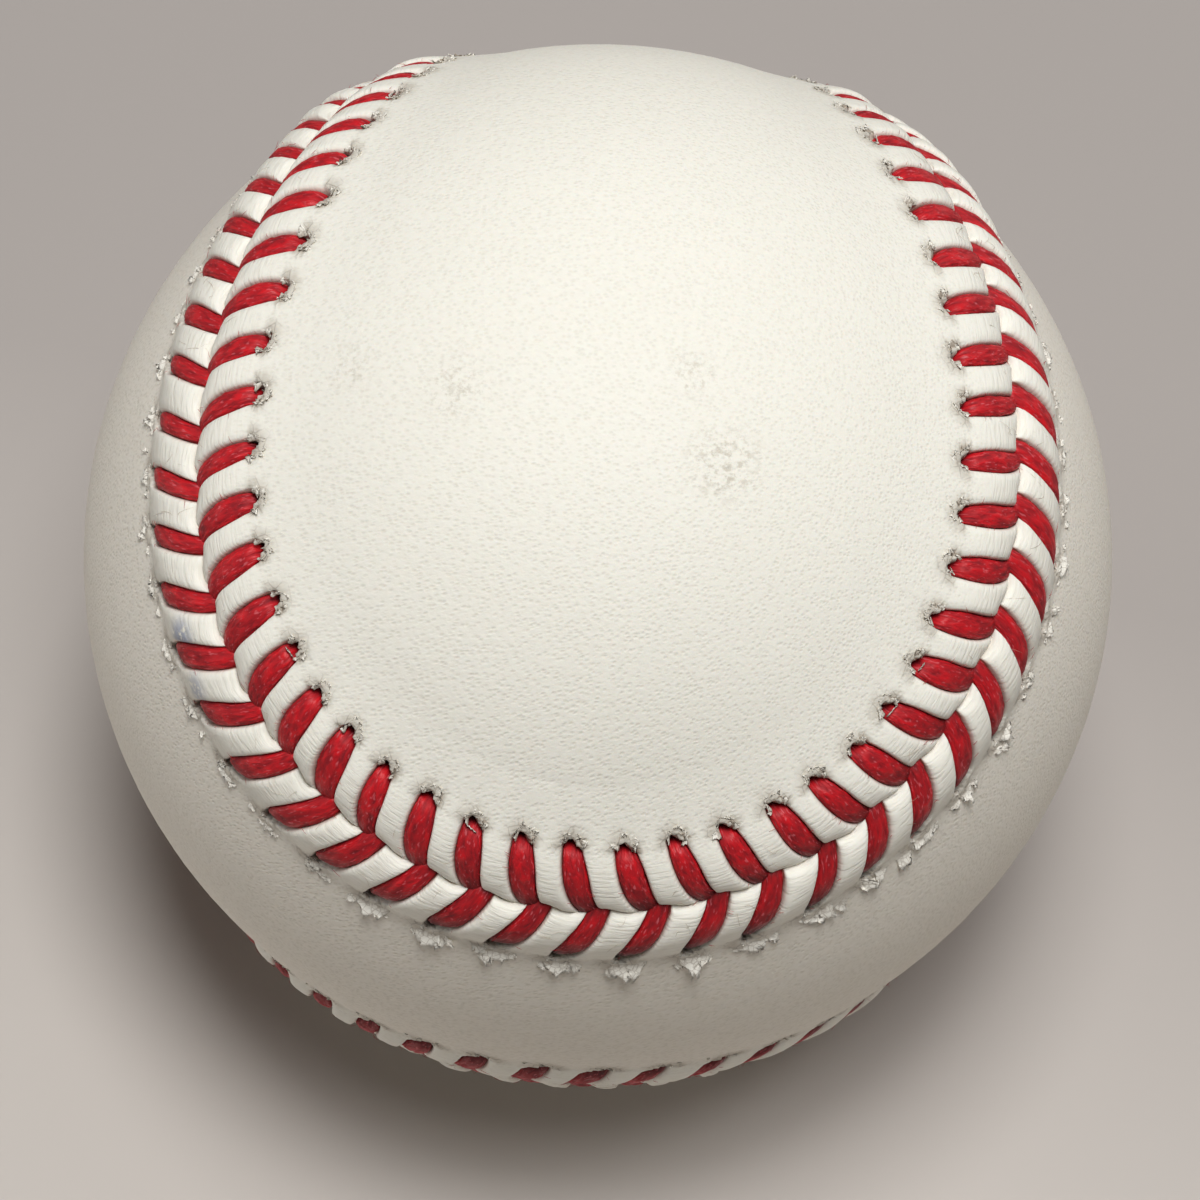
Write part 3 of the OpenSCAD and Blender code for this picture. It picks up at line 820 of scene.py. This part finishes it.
def thread_legs():
    """All legs of the stitches, each a flattened twisted strand swept from hole to parting line."""
    d = np.concatenate([np.linspace(HOLE_ROW, 4.3, END_RINGS),
                        np.linspace(4.1, 0.75, RINGS - 2 * END_RINGS),
                        np.linspace(0.5, -0.4, END_RINGS)])
    theta = np.concatenate([np.linspace(0, math.pi, UPPER_SIDES, endpoint=False),
                            np.linspace(math.pi, 2 * math.pi, LOWER_SIDES, endpoint=False)])
    sides = len(theta)
    points, faces, marks, leg_shade_amount = [], [], [], []
    run = 0
    for side in (TOP, FRONT):
        for k in range(STITCHES):
            dist = d[:, None] + hole_out[side][k] * (np.clip(d[:, None], 0, 9) / HOLE_ROW) ** 3
            slant = END_SLANT[side] * np.clip((d[:, None] - 3.2) / (HOLE_ROW - 3.2), 0, 1) ** 1.5
            dist = dist - slant * (np.cos(theta) + 1) / 2
            half = leg_half(side, k, d[:, None])
            turned = PLIES * theta + PLY_LAY * d[:, None] + chance.uniform(0, 6)
            groove = PLY_GROOVE * np.exp(-(np.sin(turned / 2) / 0.3) ** 2)
            fray = chance.normal(0, 0.012, (RINGS, sides)) + chance.normal(0, 0.02, (RINGS, 1))
            x = half * np.sign(np.cos(theta)) * np.abs(np.cos(theta)) ** 0.85 * (1 - groove + fray)
            thick = LEG_THICKNESS / 2
            z = (fair(LEG_TOP[side], d)[:, None] * flatness(side, k) - thick
                 + thick * np.sign(np.sin(theta)) * np.abs(np.sin(theta)) ** 0.7 * (1 + fray) - groove)
            stitch = leg_centre(side, k, d[:, None]) + x / PITCH
            points.append(on_ball(stitch, side * dist + seam_shift(side, stitch, dist), z).reshape(-1, 3))
            for r in range(RINGS - 1):
                a = run + r * sides
                faces += [(a + i, a + (i + 1) % sides, a + sides + (i + 1) % sides, a + sides + i)
                          for i in range(sides)]
            faces.append(tuple(range(run, run + sides)))
            faces.append(tuple(range(run + (RINGS - 1) * sides, run + RINGS * sides)))
            around = np.broadcast_to(theta / (2 * math.pi) * 4.4, (RINGS, sides))
            length = np.broadcast_to(d[:, None], (RINGS, sides))
            number = np.full((RINGS, sides), chance.uniform(0, 90))
            marks.append(np.stack([length, around, number], -1).reshape(-1, 3))
            # Painted shade: the legs darken where they sink below the leather and on the parts turned from
            # the lamps
            leg_shading = 0.75 * fair(LEG_SHADE[side], d) * along_seam(LEG_SHADE_ALONG_SEAM, k)
            low = np.clip(-(z + 0.05) / 0.5, 0, 1) * np.where(d > 2, 1, 0.35)[:, None]
            leg_shade_amount.append(np.clip(low + leg_shading[:, None], 0, 1).ravel())
            run += RINGS * sides
    made = make_mesh("seam_stitches", points, faces, {"leg_shade_amount": np.concatenate(leg_shade_amount)})
    lay = made.data.attributes.new("strand_lay", "FLOAT_VECTOR", "POINT")
    lay.data.foreach_set("vector", np.concatenate(marks).astype(np.float32).ravel())
    return made


def waxed_thread():
    """Waxed twisted thread: deep red, fibres on a slant, gloss that varies with the wax, and small painted
    glints.
    """
    made, tree, shader = new_material("waxed_cotton_thread")

    # Fibres, and small painted glints of pale pink, in mm along and around each leg. Real fibres are about
    # 0.02 mm thick, and are drawn about ten times as coarse to show
    lay = add(tree, "Attribute", attribute_name="strand_lay").outputs["Vector"]
    slanted = add(tree, "Mapping", {"Vector": lay, "Rotation": (0, 0, 0.5), "Scale": (1.5, 4.2, 1.0)})
    fibre = add(tree, "TexNoise", {"Vector": slanted.outputs[0], "Scale": 1.0, "Detail": 3.0,
                                   "Roughness": 0.6, "Distortion": 0.5})
    lumps = add(tree, "TexNoise", {"Vector": slanted.outputs[0], "Scale": 0.5, "Detail": 2.0})
    shade = add(tree, "Math", {0: lumps.outputs[0], 1: 1.0, 2: fibre.outputs[0]}, operation="MULTIPLY_ADD")
    strand = add(tree, "MapRange", {0: shade.outputs[0], 1: 0.6, 2: 1.3})
    tone = add(tree, "Mix", {0: strand.outputs[0], 6: linear(THREAD_DEEP), 7: linear(THREAD_RED)},
               data_type="RGBA")
    # Painted shade darkens the legs where they sink and where they turn from the lamps
    leg_shade_amount = add(tree, "Attribute", attribute_name="leg_shade_amount").outputs["Fac"]
    tone = add(tree, "Mix", {0: leg_shade_amount, 6: tone.outputs[2], 7: linear(THREAD_IN_SHADE)}, data_type="RGBA")
    # Painted glints: pale pink streaks mixed into the colour
    glint_place = add(tree, "Mapping", {"Vector": lay, "Rotation": (0, 0, 0.6), "Scale": (2.4, 6.5, 1.0)})
    glint_noise = add(tree, "TexNoise", {"Vector": glint_place.outputs[0], "Scale": 1.0, "Detail": 1.0})
    painted_glints = add(tree, "MapRange", {0: glint_noise.outputs[0], 1: 0.62, 2: 0.74, 3: 0.0, 4: 0.5})
    tone = add(tree, "Mix", {0: painted_glints.outputs[0], 6: tone.outputs[2], 7: linear(THREAD_GLINT)},
               data_type="RGBA")
    relief = add(tree, "Math", {0: lumps.outputs[0], 1: 1.2, 2: fibre.outputs[0]}, operation="MULTIPLY_ADD")
    bump = add(tree, "Bump", {"Height": relief.outputs[0], "Strength": 0.85, "Distance": 0.12 * MM})
    wax = add(tree, "MapRange", {0: lumps.outputs[0], 1: 0.4, 2: 0.62, 3: 0.7, 4: 0.45})
    feed(tree, shader, {"Base Color": tone.outputs[2], "Normal": bump.outputs[0],
                        "Roughness": wax.outputs[0], "IOR": THREAD_IOR, "Specular IOR Level": 0.3})
    return made


stitches = thread_legs()
waxed = waxed_thread()
stitches.data.materials.append(waxed)
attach(stitches, "root")
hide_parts("seam_thread")


# The fuzz
# Handling leaves fine cotton hairs standing off the thread, and loose leather fibres lie
# across the pillows beside the parting line.
HAIR_RINGS = 5
HAIRS_A_LEG = 5
# Radii in mm. Real hairs are about half as thick, and are drawn thicker to show
THREAD_HAIR = 0.018
LEATHER_HAIR = 0.013


def hairs(name, paths, radius):
    """Fine hairs: three-sided tubes, pointed at both ends, along paths on the ball."""
    points, faces = [], []
    girth = radius * np.array([0.35, 0.9, 1.0, 0.8, 0.3])
    run = 0
    for stitch, beside, height in paths:
        line = on_ball(stitch, beside, height)
        out = line / np.linalg.norm(line, axis=-1, keepdims=True)
        forward = np.gradient(line, axis=0)
        forward /= np.linalg.norm(forward, axis=-1, keepdims=True)
        wide = np.cross(forward, out)
        for turn in (0, 2.1, 4.2):
            points.append(line + girth[:, None] * (wide * math.cos(turn) + out * math.sin(turn)))
        for r in range(HAIR_RINGS - 1):
            for c in range(3):
                a, b = run + c * HAIR_RINGS + r, run + (c + 1) % 3 * HAIR_RINGS + r
                faces.append((a, b, b + 1, a + 1))
        faces.append((run, run + 2 * HAIR_RINGS, run + HAIR_RINGS))
        end = run + HAIR_RINGS - 1
        faces.append((end, end + HAIR_RINGS, end + 2 * HAIR_RINGS))
        run += 3 * HAIR_RINGS
    return make_mesh(name, points, faces)


def thread_hairs():
    """Short hairs that leave the flanks of the legs."""
    t = np.linspace(0, 1, HAIR_RINGS)
    for side in (TOP, FRONT):
        for k in range(STITCHES):
            for _ in range(HAIRS_A_LEG):
                d0 = chance.uniform(0.3, 4.3)
                flank = chance.choice([-1, 1])
                length = chance.uniform(0.12, 0.45)
                slant = chance.normal(0, 0.6)
                d = d0 + slant * length * t
                x = flank * (float(leg_half(side, k, d0)) * 0.85 + length * t * 0.8)
                stitch = leg_centre(side, k, d0) + (x + chance.normal(0, 0.05) * t * t * 4) / PITCH
                surface = np.maximum(pillow_height(side, k, np.clip(d, 0, 8)), 0)
                height = surface + 0.03 + chance.uniform(0, 0.3) * t
                yield stitch, side * d + seam_shift(side, stitch, d), height


def leather_fibres():
    """Longer loose fibres that lie on the pillows near the parting line."""
    t = np.linspace(0, 1, HAIR_RINGS)
    for side in (TOP, FRONT):
        for k in range(STITCHES):
            for _ in range(chance.integers(1, 4)):
                length = chance.uniform(0.5, 1.5)
                turn = chance.uniform(0, math.pi)
                bend = chance.normal(0, 0.7)
                d0 = chance.uniform(0.4, 2.6)
                d = np.clip(d0 + length * (t - 0.5) * math.sin(turn) + bend * (t - 0.5) ** 2 * 2, 0.1, 8)
                middle = leg_centre(side, k, d0) + 0.5 + chance.normal(0, 0.08)
                stitch = middle + length * (t - 0.5) * math.cos(turn) / PITCH
                height = pillow_height(side, k, d) * 1.05 + 0.03 + 0.1 * chance.uniform(0, 1) * t
                yield stitch, side * d + seam_shift(side, stitch, d), height


FIBRE_DARK = "#a8977f"
FIBRE_LIGHT = "#cfc3ae"


def loose_fibre():
    """Loose collagen fibre: dull brown-grey, matte."""
    made, tree, shader = new_material("loose_leather_fibre")
    place = add(tree, "TexCoord").outputs["Object"]
    cloud = add(tree, "TexNoise", {"Vector": place, "Scale": 1 / (3 * MM)})
    tone = add(tree, "Mix", {0: cloud.outputs[0], 6: linear(FIBRE_DARK), 7: linear(FIBRE_LIGHT)},
               data_type="RGBA")
    feed(tree, shader, {"Base Color": tone.outputs[2], "Roughness": 0.8})
    return made


red_fuzz = hairs("thread_fuzz", thread_hairs(), THREAD_HAIR)
red_fuzz.data.materials.append(waxed)
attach(red_fuzz, "root")
pale_fuzz = hairs("leather_fuzz", leather_fibres(), LEATHER_HAIR)
pale_fuzz.data.materials.append(loose_fibre())
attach(pale_fuzz, "root")


# The table, the lamps and the camera
# The ball lies on a plain pale grey surface, with a painted fall of light: lighter towards the
# viewer and a little to the left, darker away. A soft lamp hangs over it and one over the front.
# Weaker ones stand on the right, on the left and low behind it on the right. The camera looks down
# on the ball from the front.
GROUND_CORNERS = [(-3, -3), (3, -3), (3, 3), (-3, 3)]
GROUND_NEAR_LIT = "#c9c2bb"
GROUND_FAR_DIM = "#aca5a0"
GROUND_NEAR_Y = -0.032
GROUND_FAR_Y = 0.03
ROOM = "#bdb7b3"
REACH = BALL_RADIUS * MM
CAMERA_PLACE = (-0.0466 * REACH, -3.8843 * REACH, 6.6178 * REACH)
CAMERA_RIGHT = (0.99740, 0.05855, 0.04198)
CAMERA_UP = (-0.07167, 0.86566, 0.49547)
CAMERA_BACK = (-0.00733, -0.49719, 0.86761)
CAMERA_LENS = 117.4
CAMERA_SENSOR = 36
LAMP_SIZE = 0.3

ground_data = bpy.data.meshes.new("ground")
ground_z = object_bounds()[0][2]
ground_data.from_pydata([(x, y, ground_z) for x, y in GROUND_CORNERS], [], [(0, 1, 2, 3)])
ground = bpy.data.objects.new("ground", ground_data)
bpy.context.scene.collection.objects.link(ground)
table, table_tree, table_shader = new_material("matte_grey_table")
table_place = add(table_tree, "TexCoord").outputs["Object"]
table_xy = add(table_tree, "SeparateXYZ", {"Vector": table_place}).outputs
# Painted fall of light: the table's colour goes from the lit near tone to the dim far one
table_slant = add(table_tree, "Math", {0: table_xy["X"], 1: 0.2, 2: table_xy["Y"]},
                  operation="MULTIPLY_ADD")
painted_falloff = add(table_tree, "MapRange", {0: table_slant.outputs[0], 1: GROUND_NEAR_Y, 2: GROUND_FAR_Y})
table_tone = add(table_tree, "Mix", {0: painted_falloff.outputs[0], 6: linear(GROUND_NEAR_LIT),
                                     7: linear(GROUND_FAR_DIM)}, data_type="RGBA")
feed(table_tree, table_shader, {"Base Color": table_tone.outputs[2], "Roughness": 0.8})
ground_data.materials.append(table)

world = bpy.context.scene.world or bpy.data.worlds.new("room")
bpy.context.scene.world = world
world.use_nodes = True
room_tree = world.node_tree

# The camera and glossy rays see the room in full, and it lights the ball only faintly
ray = add(room_tree, "LightPath").outputs
shown = add(room_tree, "Math", {0: ray["Is Camera Ray"], 1: ray["Is Glossy Ray"]}, operation="MAXIMUM")
strength = add(room_tree, "MapRange", {0: shown.outputs[0], 3: 0.01, 4: 1.0})
feed(room_tree, room_tree.nodes["Background"], {"Color": linear(ROOM), "Strength": strength.outputs[0]})


def soft_lamp(name, place, turn, watts):
    """A round soft lamp at a place in metres, turned by degrees."""
    data = bpy.data.lights.new(name, "AREA")
    data.shape = "DISK"
    data.size = LAMP_SIZE
    data.energy = watts
    made = bpy.data.objects.new(name, data)
    bpy.context.scene.collection.objects.link(made)
    made.location = place
    made.rotation_euler = [math.radians(a) for a in turn]


soft_lamp("overhead_lamp", (0, 0, 0.85), (0, 0, 0), 4.0)
soft_lamp("front_lamp", (0.088, -0.153, 0.831), (10.4, 6.1, 0), 2.5)
soft_lamp("right_lamp", (0.318, 0, 0.788), (0, 22, 0), 0.6)
soft_lamp("left_lamp", (-0.831, 0, 0.177), (0, -78, 0), 0.95)
soft_lamp("far_right_lamp", (0.588, 0.588, 0.177), (-43.8, 73.4, 0), 0.75)

camera_data = bpy.data.cameras.new("camera")
camera_data.lens = CAMERA_LENS
camera_data.sensor_width = CAMERA_SENSOR
camera = bpy.data.objects.new("camera", camera_data)
bpy.context.scene.collection.objects.link(camera)
camera.matrix_world = Matrix([
    [CAMERA_RIGHT[i], CAMERA_UP[i], CAMERA_BACK[i], CAMERA_PLACE[i]] for i in range(3)
] + [[0, 0, 0, 1]])
bpy.context.scene.camera = camera

bpy.context.scene.view_settings.view_transform = "Standard"
